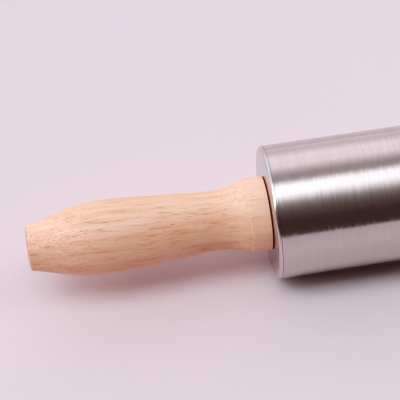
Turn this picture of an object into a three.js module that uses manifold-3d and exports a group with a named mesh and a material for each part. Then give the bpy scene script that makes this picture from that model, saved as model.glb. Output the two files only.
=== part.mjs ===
// A stainless steel rolling pin with turned wooden grips.
// A hollow steel roller, closed by a pressed cap at each end, turns on two ball bearings.
// The bearings sit on one fixed axle, which is screwed into a threaded insert in each grip,
// so the two grips and the axle move as one while the roller spins freely between them.
// Millimetres, +Z up. The origin is the middle of the roller, on the axle; +X runs along the axle.

import * as THREE from 'three';
import { mergeVertices } from 'three/addons/utils/BufferGeometryUtils.js';
import Module from 'manifold-3d';

// Roller
const ROLLER_DIAMETER = 55;
const ROLLER_LENGTH = 200; // over the faces of the two end caps
const BARREL_WALL = 1.2;
const CAP_SHEET = 1.2; // thickness of the pressed caps
const CAP_EDGE_RADIUS = 1.4; // rounded shoulder between a cap's face and the barrel
const CAP_SKIRT = 6; // how far a cap's skirt reaches into the barrel
const SEAM_GAP = 0.2; // hairline joint between a cap's shoulder and the barrel

// Axle
const AXLE_DIAMETER = 8;
const AXLE_CHAMFER = 1;
const AXLE_TIP = 6; // how far the axle runs on past its threaded insert

// Ball bearings
const BALL_DIAMETER = 3.97;
const BALL_SPACING = 1.6; // room along the pitch circle for each ball, in ball diameters
const RACE_WALL = 1.35; // steel left under the ball groove of either ring
const RACE_LIP = 0.65; // height of a ring's shoulders above the bottom of its groove
const CAGE_BACK = 0.7; // solid rim of the cage, behind the balls
const CAGE_PRONG = 0.5; // how far the cage's prongs pass the middle of the balls
const SHIELD_THICKNESS = 0.4;
const SHIELD_INSET = 0.2; // from the bearing's side to its shield
const BEARING_RECESS = 0.5; // from a cap's face in to the side of its bearing

// Retaining rings on the axle
const CIRCLIP_THICKNESS = 0.8;
const CIRCLIP_BAND = 1.5; // radial width of the ring
const CIRCLIP_LUG = 0.9; // half the width of a lug
const CIRCLIP_LUG_RISE = 1.5; // how far a lug stands out past the ring
const CIRCLIP_SLOT = 1; // half the opening between the two lugs
const CIRCLIP_HOLE = 0.45; // radius of the plier holes
const CIRCLIP_GROOVE = 0.3; // depth of the groove in the axle

// Threaded inserts
const INSERT_LENGTH = 22;
const INSERT_WALL = 2;
const INSERT_BARB = 0.5; // height of the barbs that bite into the wood
const INSERT_BARBS = 3;

// Grips
const GRIP_GAP = 0.25; // open gap between a cap's face and its grip
const COLLAR_RADIUS = 15.1;
const COLLAR_WIDTH = 8.8;
const COLLAR_EDGE = 0.5; // broken edge of the collar, on the roller's side
const COLLAR_STEP = 0.45; // drop from the collar to the cove beside it
const COVE_LENGTH = 13.2; // from the collar to the neck
const NECK_RADIUS = 12.1;
const NECK_EASE = 5; // how softly the neck turns into the cove and the swell
const SWELL_LENGTH = 45; // from the neck to the belly
const BELLY_RADIUS = 15.2;
const BELLY_EASE = 12.5; // how softly the swell turns over into the taper
const TAPER_LENGTH = 31.5; // from the belly to the middle of the end
const END_RADIUS = 9.35;
const END_EASE = 8; // how far back from the end the taper straightens
const END_LEAN = 1; // radius gained over that stretch
const END_ROUND = 0.9; // rounded edge of the end
const END_CROWN = 0.4; // how far the middle of the end stands out past that edge
const END_FLAT = 5; // radius of the flat in the middle of the end
const BORE_PAST_AXLE = 2; // blind bore left beyond the axle's tip

// Clearances
const FIT_GAP = 0.1; // between pieces that sit still against each other
const RUNNING_GAP = 0.25; // between pieces that turn past each other
const BALL_GAP = 0.15; // between a ball and its grooves

// Facets around the turned pieces, and along each rounded stretch of a profile
const ROLLER_FACETS = 56;
const BEARING_FACETS = 28;
const AXLE_FACETS = 20;
const GRIP_FACETS = 36;
const BALL_FACETS = 12;
const BALL_RINGS = 7;
const ARC_STEPS = 2;
const CURVE_STEPS = 5;
const CIRCLIP_STEPS = 10;

const MERGE_DISTANCE = 1e-4; // corners closer than this are one corner
const QUARTER_TURN = Math.PI / 2;
const FULL_TURN = 2 * Math.PI;

// Sizes that follow, as radii or as distances along the axle from the middle of the roller
const rollerRadius = ROLLER_DIAMETER / 2;
const capFace = ROLLER_LENGTH / 2;
const seam = capFace - CAP_EDGE_RADIUS;
const axleRadius = AXLE_DIAMETER / 2;
const ballRadius = BALL_DIAMETER / 2;

const grooveRadius = ballRadius + BALL_GAP;
const boreRadius = axleRadius + FIT_GAP;
const innerGroove = boreRadius + RACE_WALL;
const innerShoulder = innerGroove + RACE_LIP;
const pitchRadius = innerGroove + grooveRadius;
const outerGroove = pitchRadius + grooveRadius;
const outerShoulder = outerGroove - RACE_LIP;
const bearingRadius = outerGroove + RACE_WALL;
const bearingWidth = BALL_DIAMETER + 2 * (CAGE_BACK + RUNNING_GAP + SHIELD_THICKNESS + SHIELD_INSET);
const bearingOuterSide = capFace - BEARING_RECESS;
const bearingMiddle = bearingOuterSide - bearingWidth / 2;
const bearingInnerSide = bearingOuterSide - bearingWidth;
const ballCount = Math.floor((FULL_TURN * pitchRadius) / (BALL_DIAMETER * BALL_SPACING));

const circlipInner = axleRadius - CIRCLIP_GROOVE + FIT_GAP;
const circlipOuter = circlipInner + CIRCLIP_BAND;
const circlipReach = circlipOuter + CIRCLIP_LUG_RISE;
const circlipBack = bearingInnerSide - FIT_GAP - CIRCLIP_THICKNESS;
const pocketRadius = bearingRadius + FIT_GAP;
const pocketFloor = bearingInnerSide - FIT_GAP;
const floorHole = circlipReach + RUNNING_GAP;

const gripFace = capFace + GRIP_GAP;
const insertRadius = boreRadius + INSERT_WALL;
const barbRadius = insertRadius + INSERT_BARB;
const axleEnd = gripFace + INSERT_LENGTH + AXLE_TIP;

// Finishes
const brushedSteel = new THREE.MeshStandardMaterial({ color: 0xc9bfc0, roughness: 0.3, metalness: 1 });
const polishedSteel = new THREE.MeshStandardMaterial({ color: 0xd2cacb, roughness: 0.15, metalness: 1 });
const bearingSteel = new THREE.MeshStandardMaterial({ color: 0xb9b9bd, roughness: 0.2, metalness: 1 });
const springSteel = new THREE.MeshStandardMaterial({ color: 0x3d3a38, roughness: 0.5, metalness: 1 });
const cageNylon = new THREE.MeshStandardMaterial({ color: 0xe4dcc8, roughness: 0.6, metalness: 0 });
const insertBrass = new THREE.MeshStandardMaterial({ color: 0xc2a15a, roughness: 0.35, metalness: 1 });
const paleWood = new THREE.MeshStandardMaterial({ color: 0xdcae8b, roughness: 0.6, metalness: 0 });

const wasm = await Module();
wasm.setup();

// A profile turned about its own Y axis. A facet, not an edge, faces straight down.
function turned(profile, facets, steps = ARC_STEPS) {
  return new THREE.LatheGeometry(profile.getPoints(steps), facets, Math.PI / facets);
}

// A straight-sided profile, given as radius and distance pairs.
function outline(pairs) {
  return new THREE.Path(pairs.map(([radius, along]) => new THREE.Vector2(radius, along)));
}

// A ring of rectangular section, as a profile that closes on itself.
function ringProfile(inner, outer, from, to) {
  return outline([[inner, from], [outer, from], [outer, to], [inner, to], [inner, from]]);
}

// A three.js geometry as a solid that others can be cut from, and back again.
function toSolid(geometry) {
  const bare = new THREE.BufferGeometry();
  bare.setAttribute('position', geometry.getAttribute('position'));
  bare.setIndex(geometry.getIndex());
  const merged = mergeVertices(bare, MERGE_DISTANCE);
  const vertProperties = new Float32Array(merged.getAttribute('position').array);
  const triVerts = new Uint32Array(merged.getIndex().array);
  return new wasm.Manifold(new wasm.Mesh({ numProp: 3, vertProperties, triVerts }));
}

function toGeometry(solid) {
  const { vertProperties, triVerts } = solid.getMesh();
  const geometry = new THREE.BufferGeometry();
  geometry.setAttribute('position', new THREE.BufferAttribute(new Float32Array(vertProperties), 3));
  geometry.setIndex(new THREE.BufferAttribute(new Uint32Array(triVerts), 1));
  return geometry;
}

// One named piece with a finish of its own.
function piece(name, geometry, finish) {
  const mesh = new THREE.Mesh(geometry, finish.clone());
  mesh.name = name;
  return mesh;
}

// The plain tube between the two caps' shoulders.
function barrelGeometry() {
  const end = seam - SEAM_GAP;
  return turned(ringProfile(rollerRadius - BARREL_WALL, rollerRadius, -end, end), ROLLER_FACETS);
}

// A pressed cap: rounded shoulder, flat face, a drawn pocket for the bearing, and a skirt in the barrel.
function capGeometry() {
  const skirtOuter = rollerRadius - BARREL_WALL - FIT_GAP;
  const skirtInner = skirtOuter - CAP_SHEET;
  const skirtEnd = seam - CAP_SKIRT;
  const underFace = capFace - CAP_SHEET;
  const profile = new THREE.Path();
  profile.moveTo(skirtOuter, skirtEnd);
  profile.lineTo(skirtOuter, seam);
  profile.absarc(rollerRadius - CAP_EDGE_RADIUS, seam, CAP_EDGE_RADIUS, 0, QUARTER_TURN);
  profile.lineTo(pocketRadius, capFace);
  profile.lineTo(pocketRadius, pocketFloor);
  profile.lineTo(floorHole, pocketFloor);
  profile.lineTo(floorHole, pocketFloor - CAP_SHEET);
  profile.lineTo(pocketRadius + CAP_SHEET, pocketFloor - CAP_SHEET);
  profile.lineTo(pocketRadius + CAP_SHEET, underFace);
  profile.lineTo(skirtInner, underFace);
  profile.lineTo(skirtInner, skirtEnd);
  profile.closePath();
  return turned(profile, ROLLER_FACETS);
}

// The axle, with a chamfer and a retaining-ring groove towards each end.
function axleGeometry() {
  const grooveFloor = axleRadius - CIRCLIP_GROOVE;
  const grooveNear = circlipBack - FIT_GAP;
  const grooveFar = bearingInnerSide;
  const half = [
    [axleRadius, grooveNear],
    [grooveFloor, grooveNear],
    [grooveFloor, grooveFar],
    [axleRadius, grooveFar],
    [axleRadius, axleEnd - AXLE_CHAMFER],
    [axleRadius - AXLE_CHAMFER, axleEnd],
    [0, axleEnd],
  ];
  const otherHalf = half.map(([radius, along]) => [radius, -along]).reverse();
  return turned(outline([...otherHalf, ...half]), AXLE_FACETS);
}

// A bearing ring: a plain wall on one side, and a ball groove between two shoulders on the other.
// `facing` points from the balls to the ring: 0 for the outer ring, half a turn for the inner one.
function bearingRingGeometry(wall, shoulder, facing) {
  const side = (bearingWidth / 2) * Math.cos(facing);
  const lipAngle = Math.acos(1 - RACE_LIP / grooveRadius);
  const profile = new THREE.Path();
  profile.moveTo(wall, -side);
  profile.lineTo(wall, side);
  profile.lineTo(shoulder, side);
  profile.absarc(pitchRadius, 0, grooveRadius, facing + lipAngle, facing - lipAngle, true);
  profile.lineTo(shoulder, -side);
  profile.closePath();
  return turned(profile, BEARING_FACETS);
}

// Where the middle of each ball is, around the pitch circle.
function ballPlaces() {
  return Array.from({ length: ballCount }, (_, index) => {
    const angle = (index * FULL_TURN) / ballCount;
    return new THREE.Vector3(pitchRadius * Math.sin(angle), 0, pitchRadius * Math.cos(angle));
  });
}

function ballGeometry(radius) {
  return new THREE.SphereGeometry(radius, BALL_FACETS, BALL_RINGS);
}

// A snap-in cage: a rim behind the balls, with prongs between them that pass the balls' middles.
function cageGeometry() {
  const back = -(ballRadius + CAGE_BACK);
  const profile = ringProfile(innerShoulder + RUNNING_GAP, outerShoulder - RUNNING_GAP, back, CAGE_PRONG);
  const pocket = toSolid(ballGeometry(ballRadius + RUNNING_GAP));
  const pockets = ballPlaces().map(({ x, y, z }) => pocket.translate(x, y, z));
  return toGeometry(toSolid(turned(profile, BEARING_FACETS)).subtract(wasm.Manifold.union(pockets)));
}

// An open ring with a drilled lug on each side of its slot.
function circlipGeometry() {
  const lugMiddle = CIRCLIP_SLOT + CIRCLIP_LUG;
  const lugSide = lugMiddle + CIRCLIP_LUG;
  const lugTip = Math.sqrt(circlipReach ** 2 - lugSide ** 2);
  const slotAngle = Math.asin(CIRCLIP_SLOT / circlipInner);
  const lugAngle = Math.asin(lugSide / circlipOuter);
  const ring = new THREE.Shape();
  ring.moveTo(lugTip, CIRCLIP_SLOT);
  ring.lineTo(lugTip, lugSide);
  ring.absarc(0, 0, circlipOuter, lugAngle, FULL_TURN - lugAngle);
  ring.lineTo(lugTip, -lugSide);
  ring.lineTo(lugTip, -CIRCLIP_SLOT);
  ring.absarc(0, 0, circlipInner, FULL_TURN - slotAngle, slotAngle, true);
  ring.closePath();
  for (const sign of [-1, 1]) {
    const hole = new THREE.Path();
    hole.absarc(lugTip - CIRCLIP_LUG, sign * lugMiddle, CIRCLIP_HOLE, 0, FULL_TURN);
    ring.holes.push(hole);
  }
  const settings = { depth: CIRCLIP_THICKNESS, bevelEnabled: false, curveSegments: CIRCLIP_STEPS };
  return new THREE.ExtrudeGeometry(ring, settings).rotateX(-QUARTER_TURN);
}

// A sleeve with a row of barbs, each one steep towards the roller and sloping away from it.
function insertGeometry() {
  const pitch = INSERT_LENGTH / INSERT_BARBS;
  const pairs = [[boreRadius, INSERT_LENGTH], [boreRadius, 0]];
  for (let barb = 0; barb < INSERT_BARBS; barb += 1) {
    pairs.push([insertRadius, barb * pitch]);
    pairs.push([barbRadius, barb * pitch + INSERT_BARB]);
  }
  pairs.push([insertRadius, INSERT_LENGTH]);
  pairs.push([boreRadius, INSERT_LENGTH]);
  return turned(outline(pairs), AXLE_FACETS);
}

// A turned grip: blind bore, straight collar, cove, neck, belly, taper and a slightly crowned end.
function gripGeometry() {
  const neck = COLLAR_WIDTH + COVE_LENGTH;
  const belly = neck + SWELL_LENGTH;
  const end = belly + TAPER_LENGTH;
  const insertSeat = INSERT_LENGTH + FIT_GAP;
  const boreEnd = axleEnd + BORE_PAST_AXLE - gripFace;
  const rim = end - END_CROWN;
  const rimRadius = END_RADIUS - END_ROUND;
  const profile = new THREE.Path();
  profile.moveTo(0, boreEnd);
  profile.lineTo(boreRadius, boreEnd);
  profile.lineTo(boreRadius, insertSeat);
  profile.lineTo(barbRadius + FIT_GAP, insertSeat);
  profile.lineTo(barbRadius + FIT_GAP, 0);
  profile.lineTo(COLLAR_RADIUS - COLLAR_EDGE, 0);
  profile.lineTo(COLLAR_RADIUS, COLLAR_EDGE);
  profile.lineTo(COLLAR_RADIUS, COLLAR_WIDTH);
  profile.lineTo(COLLAR_RADIUS - COLLAR_STEP, COLLAR_WIDTH + COLLAR_EDGE);
  profile.quadraticCurveTo(NECK_RADIUS, neck - NECK_EASE, NECK_RADIUS, neck);
  profile.bezierCurveTo(
    NECK_RADIUS, neck + NECK_EASE,
    BELLY_RADIUS, belly - BELLY_EASE,
    BELLY_RADIUS, belly,
  );
  profile.bezierCurveTo(
    BELLY_RADIUS, belly + BELLY_EASE,
    END_RADIUS + END_LEAN, end - END_EASE,
    END_RADIUS, rim - END_ROUND,
  );
  profile.quadraticCurveTo(END_RADIUS, rim, rimRadius, rim);
  profile.quadraticCurveTo((rimRadius + END_FLAT) / 2, end, END_FLAT, end);
  profile.lineTo(0, end);
  return turned(profile, GRIP_FACETS, CURVE_STEPS);
}

// One ball bearing, its middle at the group's own origin.
function bearing(side) {
  const group = new THREE.Group();
  const prefix = `${side}_bearing`;
  const shieldHalf = SHIELD_THICKNESS / 2;
  const shieldMiddle = bearingWidth / 2 - SHIELD_INSET - shieldHalf;
  const shieldProfile = ringProfile(
    innerShoulder + RUNNING_GAP, outerShoulder - FIT_GAP, -shieldHalf, shieldHalf,
  );
  const outerRing = bearingRingGeometry(bearingRadius, outerShoulder, 0);
  const innerRing = bearingRingGeometry(boreRadius, innerShoulder, Math.PI);
  group.add(piece(`${prefix}_outer_ring`, outerRing, bearingSteel));
  group.add(piece(`${prefix}_inner_ring`, innerRing, bearingSteel));
  group.add(piece(`${prefix}_cage`, cageGeometry(), cageNylon));
  ballPlaces().forEach((place, index) => {
    const ball = piece(`${prefix}_ball_${index + 1}`, ballGeometry(ballRadius), polishedSteel);
    ball.position.copy(place);
    group.add(ball);
  });
  for (const [label, sign] of [['outer', 1], ['inner', -1]]) {
    const shield = piece(`${prefix}_${label}_shield`, turned(shieldProfile, BEARING_FACETS), bearingSteel);
    shield.position.y = sign * shieldMiddle;
    group.add(shield);
  }
  return group;
}

// Everything at one end of the pin. The group's own +Y runs outwards along the axle.
function pinEnd(side) {
  const group = new THREE.Group();
  const ballBearing = bearing(side);
  const circlip = piece(`${side}_circlip`, circlipGeometry(), springSteel);
  const spacerProfile = ringProfile(
    boreRadius, innerShoulder, bearingOuterSide + FIT_GAP, gripFace - FIT_GAP,
  );
  const spacer = piece(`${side}_spacer_washer`, turned(spacerProfile, AXLE_FACETS), polishedSteel);
  const insert = piece(`${side}_threaded_insert`, insertGeometry(), insertBrass);
  const grip = piece(`${side}_grip`, gripGeometry(), paleWood);
  ballBearing.position.y = bearingMiddle;
  circlip.position.y = circlipBack;
  insert.position.y = gripFace;
  grip.position.y = gripFace;
  group.add(piece(`${side}_end_cap`, capGeometry(), polishedSteel));
  group.add(ballBearing, circlip, spacer, insert, grip);
  return group;
}

const rollingPin = new THREE.Group();
rollingPin.name = 'rolling_pin';

const shaft = new THREE.Group();
shaft.rotation.z = -QUARTER_TURN;
shaft.add(piece('roller_barrel', barrelGeometry(), brushedSteel));
shaft.add(piece('axle', axleGeometry(), polishedSteel));

const rightEnd = pinEnd('right');
rightEnd.rotation.z = -QUARTER_TURN;

const leftEnd = pinEnd('left');
leftEnd.rotation.z = QUARTER_TURN;

rollingPin.add(shaft, leftEnd, rightEnd);

export default rollingPin;
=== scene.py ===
"""Looks, studio and camera for a stainless steel rolling pin with turned wooden grips.

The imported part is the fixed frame. The roller's barrel, its two caps and the two grips are turned again
here with fine rings and rounded edges, and stand for the faceted solids. The pieces inside the roller stay
as they are and get finishes. All sizes are in metres, in the part's own frame: +X runs along the axle, and
+Z is up.
"""

import logging
import math
from collections.abc import Iterable, Sequence
from dataclasses import dataclass, field
from enum import Enum

import bpy
from mathutils import Matrix, Vector


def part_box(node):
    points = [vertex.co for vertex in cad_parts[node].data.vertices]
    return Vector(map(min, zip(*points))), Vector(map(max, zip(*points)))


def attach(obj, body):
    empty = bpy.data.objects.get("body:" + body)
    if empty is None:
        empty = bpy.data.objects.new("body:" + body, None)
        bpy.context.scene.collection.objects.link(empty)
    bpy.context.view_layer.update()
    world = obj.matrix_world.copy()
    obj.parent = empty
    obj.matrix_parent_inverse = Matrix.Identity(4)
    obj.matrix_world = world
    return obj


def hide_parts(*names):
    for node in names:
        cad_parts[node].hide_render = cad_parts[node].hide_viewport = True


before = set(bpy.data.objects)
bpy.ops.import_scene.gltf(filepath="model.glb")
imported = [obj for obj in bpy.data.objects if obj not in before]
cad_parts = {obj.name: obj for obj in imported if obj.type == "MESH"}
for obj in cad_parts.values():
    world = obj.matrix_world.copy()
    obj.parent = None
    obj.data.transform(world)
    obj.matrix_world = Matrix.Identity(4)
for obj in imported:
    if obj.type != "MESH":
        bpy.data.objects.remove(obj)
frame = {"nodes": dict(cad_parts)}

LOG = logging.getLogger("rolling_pin")
MM = 0.001
HALF_TURN = 180.0

# Which way the points of an arc lie from its middle, in degrees.
OUTWARDS = 0.0
TO_RIGHT = 90.0
INWARDS = 180.0
TO_LEFT = -90.0

# Blender's wave texture turns by this many radians for each unit of its place.
WAVE_RADIANS = 20.0

# Turns a drawn-out reflection from around the axle to along it, as a share of a full turn.
QUARTER_TURN = 0.25

# Numbers of a Mix node's colour sockets, which share their names with its other sockets.
MIX_FIRST = 6
MIX_SECOND = 7
MIX_RESULT = 2

Triple = tuple[float, float, float]
Colour = Triple
Stops = tuple[tuple[float, Colour], ...]
Piece = bpy.types.Object
Socket = bpy.types.NodeSocket
Inputs = dict[str | int, object]


class Body(Enum):
    """The rigid bodies that the new pieces move with."""

    GRIPS = "grips_and_axle"
    ROLLER = "roller"


class Side(Enum):
    """The two ends of the pin, by the word that starts the names of their pieces."""

    LEFT = "left"
    RIGHT = "right"


class Seat(Enum):
    """Which way the brush lines of a metal stand side by side."""

    ALONG_AXLE = "along the axle"
    FROM_AXLE = "outwards from the axle"


@dataclass(frozen=True)
class Station:
    """A point of a turned profile.

    Attributes:
        along: Place along the axle.
        radius: Distance from the axle.
    """

    along: float
    radius: float


def deselect_everything() -> None:
    """Leaves edit mode and clears the selection, so that an operator touches only the new piece."""
    if bpy.context.object is not None and bpy.context.object.mode != "OBJECT":
        bpy.ops.object.mode_set(mode="OBJECT")
    bpy.ops.object.select_all(action="DESELECT")


def activate(piece: Piece) -> None:
    """Makes one piece the only selected and active one.

    Args:
        piece: The object that the next operators act on.
    """
    deselect_everything()
    piece.select_set(True)
    bpy.context.view_layer.objects.active = piece


def arc(centre: Station, radius: float, start: float, end: float, steps: int) -> list[Station]:
    """Points along a circular arc of a profile.

    Args:
        centre: Middle of the arc.
        radius: Radius of the arc.
        start: First angle, from the direction away from the axle towards +X, in degrees.
        end: Last angle, in degrees.
        steps: Number of straight stretches.

    Returns:
        The arc's points, both ends included.
    """
    points = []
    for i in range(steps + 1):
        angle = math.radians(start + (end - start) * i / steps)
        along = centre.along + radius * math.sin(angle)
        points.append(Station(along, centre.radius + radius * math.cos(angle)))
    return points


def bezier(controls: Sequence[Station], steps: int) -> list[Station]:
    """Points along a Bezier curve of a profile.

    Args:
        controls: The curve's start, its control points and its end.
        steps: Number of straight stretches.

    Returns:
        The curve's points, without its start.
    """
    degree = len(controls) - 1
    points = []
    for i in range(1, steps + 1):
        t = i / steps
        weights = [math.comb(degree, k) * t**k * (1 - t) ** (degree - k) for k in range(degree + 1)]
        along = sum(weight * control.along for weight, control in zip(weights, controls))
        radius = sum(weight * control.radius for weight, control in zip(weights, controls))
        points.append(Station(along, radius))
    return points


@dataclass(frozen=True)
class Lathe:
    """Turns profiles about the axle with Blender's own operators.

    Attributes:
        steps: Facets around a turned piece.
        merge: Corners closer than this are made one.
        near: A corner closer than this to a station lies on it.
        bevel_steps: Faces across a bevelled edge.
        sharp: Edges that turn by more than this stay sharp, in degrees.
    """

    steps: int = 160
    merge: float = 0.002 * MM
    near: float = 0.008 * MM
    bevel_steps: int = 3
    sharp: float = 35.0

    def turn(self, name: str, profile: Sequence[Station]) -> Piece:
        """Draws a profile by extruding one corner from station to station, then spins it about the axle.

        Args:
            name: Name of the new piece.
            profile: The stations, from axle to axle or ending where they start.

        Returns:
            The turned piece, at the origin, closed and facing outwards.
        """
        deselect_everything()
        first = profile[0]
        bpy.ops.mesh.primitive_plane_add(size=MM, location=(first.along, 0.0, first.radius))
        piece = bpy.context.object
        piece.name = name
        piece.data.name = name
        bpy.ops.object.transform_apply(location=True, rotation=True, scale=True)
        bpy.ops.object.mode_set(mode="EDIT")
        bpy.ops.mesh.select_mode(type="VERT")
        bpy.ops.mesh.select_all(action="SELECT")
        bpy.ops.mesh.merge(type="CENTER")
        for here, there in zip(profile, profile[1:]):
            move = (there.along - here.along, 0.0, there.radius - here.radius)
            bpy.ops.mesh.extrude_region_move(TRANSFORM_OT_translate={"value": move})
        bpy.ops.mesh.select_all(action="SELECT")
        bpy.ops.mesh.spin(steps=self.steps, angle=math.tau, center=(0.0, 0.0, 0.0), axis=(1.0, 0.0, 0.0))
        bpy.ops.mesh.select_all(action="SELECT")
        bpy.ops.mesh.remove_doubles(threshold=self.merge)
        bpy.ops.mesh.normals_make_consistent(inside=False)
        bpy.ops.object.mode_set(mode="OBJECT")
        return piece

    def ring_of(self, corner: Vector, rings: Sequence[Station]) -> int | None:
        """Finds the ring that a corner of a turned piece lies on.

        Args:
            corner: The corner's place.
            rings: Where the rings are.

        Returns:
            The ring's number, or None where the corner lies on none.
        """
        radius = math.hypot(corner.y, corner.z)
        for number, ring in enumerate(rings):
            if abs(corner.x - ring.along) < self.near and abs(radius - ring.radius) < self.near:
                return number
        return None

    def round_rings(self, piece: Piece, rings: Sequence[Station], width: float) -> None:
        """Bevels the ring-shaped edges at the given stations.

        Args:
            piece: The turned piece.
            rings: Where the edges are.
            width: Width of the bevel.
        """
        activate(piece)
        mesh = piece.data
        ring_numbers = [self.ring_of(corner.co, rings) for corner in mesh.vertices]
        bpy.ops.object.mode_set(mode="EDIT")
        bpy.ops.mesh.select_mode(type="EDGE")
        bpy.ops.mesh.select_all(action="DESELECT")
        bpy.ops.object.mode_set(mode="OBJECT")
        for edge in mesh.edges:
            start, end = (ring_numbers[corner] for corner in edge.vertices)
            edge.select = start is not None and start == end
        bpy.ops.object.mode_set(mode="EDIT")
        bpy.ops.mesh.bevel(offset=width, segments=self.bevel_steps, affect="EDGES")
        bpy.ops.mesh.select_all(action="SELECT")
        bpy.ops.mesh.normals_make_consistent(inside=False)
        bpy.ops.object.mode_set(mode="OBJECT")

    def smooth(self, piece: Piece) -> None:
        """Shades a piece smooth, apart from its sharp edges."""
        activate(piece)
        bpy.ops.object.shade_smooth_by_angle(angle=math.radians(self.sharp))

    def turn_pair(self, name: str, profile: Sequence[Station]) -> dict[Side, Piece]:
        """Turns a piece of the left end, and turns a copy of it half round, to the right end.

        Args:
            name: Name of the two pieces, without the word for their end.
            profile: The left piece's stations.

        Returns:
            The piece at each end, the two with a mesh each, at the origin and unturned.
        """
        left = self.turn(f"{Side.LEFT.value}_{name}", profile)
        self.smooth(left)
        activate(left)
        bpy.ops.object.duplicate(linked=False)
        right = bpy.context.object
        right.name = f"{Side.RIGHT.value}_{name}"
        right.data.name = right.name
        bpy.ops.object.mode_set(mode="EDIT")
        bpy.ops.mesh.select_all(action="SELECT")
        bpy.ops.transform.rotate(value=math.pi, orient_axis="Z", center_override=(0.0, 0.0, 0.0))
        bpy.ops.object.mode_set(mode="OBJECT")
        return {Side.LEFT: left, Side.RIGHT: right}


def opaque(colour: Colour) -> tuple[float, float, float, float]:
    """A colour with full alpha, as colour sockets take it."""
    return (*colour, 1.0)


class Wiring:
    """Adds and joins the nodes of one node tree."""

    def __init__(self, tree: bpy.types.NodeTree) -> None:
        """Starts from an empty tree of a material, a world or a node group."""
        self.tree = tree
        self.tree.nodes.clear()

    def add(self, kind: str, inputs: Inputs | None = None, **settings: object) -> bpy.types.Node:
        """Adds one node.

        Args:
            kind: Blender's name for the kind of node.
            inputs: By socket name or number, a value to set or another node's output to join.
            **settings: The node's own options.

        Returns:
            The new node.
        """
        node = self.tree.nodes.new(kind)
        for option, value in settings.items():
            setattr(node, option, value)
        for key, value in (inputs or {}).items():
            socket = node.inputs[key]
            if isinstance(value, Socket):
                self.tree.links.new(value, socket)
            elif socket.type == "RGBA":
                socket.default_value = opaque(value)
            else:
                socket.default_value = value
        return node

    def math(self, operation: str, *values: object) -> Socket:
        """Adds a sum, product or other operation on numbers, and returns its result."""
        return self.add("ShaderNodeMath", dict(enumerate(values)), operation=operation).outputs[0]

    def vector(self, operation: str, *values: object) -> Socket:
        """Adds an operation on places or directions, and returns the place or direction that it gives."""
        inputs = dict(enumerate(values))
        return self.add("ShaderNodeVectorMath", inputs, operation=operation).outputs["Vector"]

    def measure(self, operation: str, *values: object) -> Socket:
        """Adds an operation on places or directions, and returns the number that it gives."""
        inputs = dict(enumerate(values))
        return self.add("ShaderNodeVectorMath", inputs, operation=operation).outputs["Value"]

    def remap(self, value: Socket, low: float, high: float, to_low: float, to_high: float) -> Socket:
        """Stretches a range of numbers onto another, clamped, and returns the result."""
        inputs = dict(enumerate((value, low, high, to_low, to_high)))
        return self.add("ShaderNodeMapRange", inputs).outputs[0]

    def blend(self, share: Socket, first: Socket | Colour, second: Socket | Colour) -> Socket:
        """Mixes two colours by a share, and returns the colour."""
        inputs = {0: share, MIX_FIRST: first, MIX_SECOND: second}
        return self.add("ShaderNodeMix", inputs, data_type="RGBA").outputs[MIX_RESULT]

    def weigh(self, parts: Iterable[tuple[Socket, float]], start: Socket | float = 0.0) -> Socket:
        """Adds up patterns.

        Args:
            parts: The patterns, each with the share that it counts for.
            start: What they are added to.

        Returns:
            The sum.
        """
        total = start
        for pattern, share in parts:
            total = self.math("MULTIPLY_ADD", pattern, share, total)
        return total

    def bump(self, strength: float, depth: float, height: Socket) -> Socket:
        """Adds a bump to the surface, and returns its normal."""
        inputs = {"Strength": strength, "Distance": depth, "Height": height}
        return self.add("ShaderNodeBump", inputs).outputs[0]

    def ramp(self, half_turns: Socket, stops: Stops) -> Socket:
        """Adds a row of colours by angle.

        Args:
            half_turns: The angle, in half turns.
            stops: The colours, each with its angle in degrees.

        Returns:
            The colour at that angle.
        """
        node = self.add("ShaderNodeValToRGB", {0: half_turns})
        elements = node.color_ramp.elements
        while len(elements) < len(stops):
            elements.new(1.0)
        for element, (degrees, colour) in zip(elements, stops):
            element.position = degrees / HALF_TURN
            element.color = opaque(colour)
        return node.outputs[0]

    def coordinate(self, kind: str) -> Socket:
        """The surface's place or direction, of one of the kinds that Blender names."""
        return self.add("ShaderNodeTexCoord").outputs[kind]

    def first_axis(self, place: Socket) -> Socket:
        """The part of a place or direction that runs along the first axis."""
        return self.add("ShaderNodeSeparateXYZ", {0: place}).outputs[0]

    def on_first_axis(self, number: Socket) -> Socket:
        """A place on the first axis, at a distance from the origin."""
        return self.add("ShaderNodeCombineXYZ", {0: number}).outputs[0]


@dataclass(frozen=True)
class Waves:
    """How fine a pattern is.

    Attributes:
        first: Waves for each metre along the first axis of the pattern's place.
        others: Waves for each metre along the other two axes.
    """

    first: float
    others: float


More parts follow.
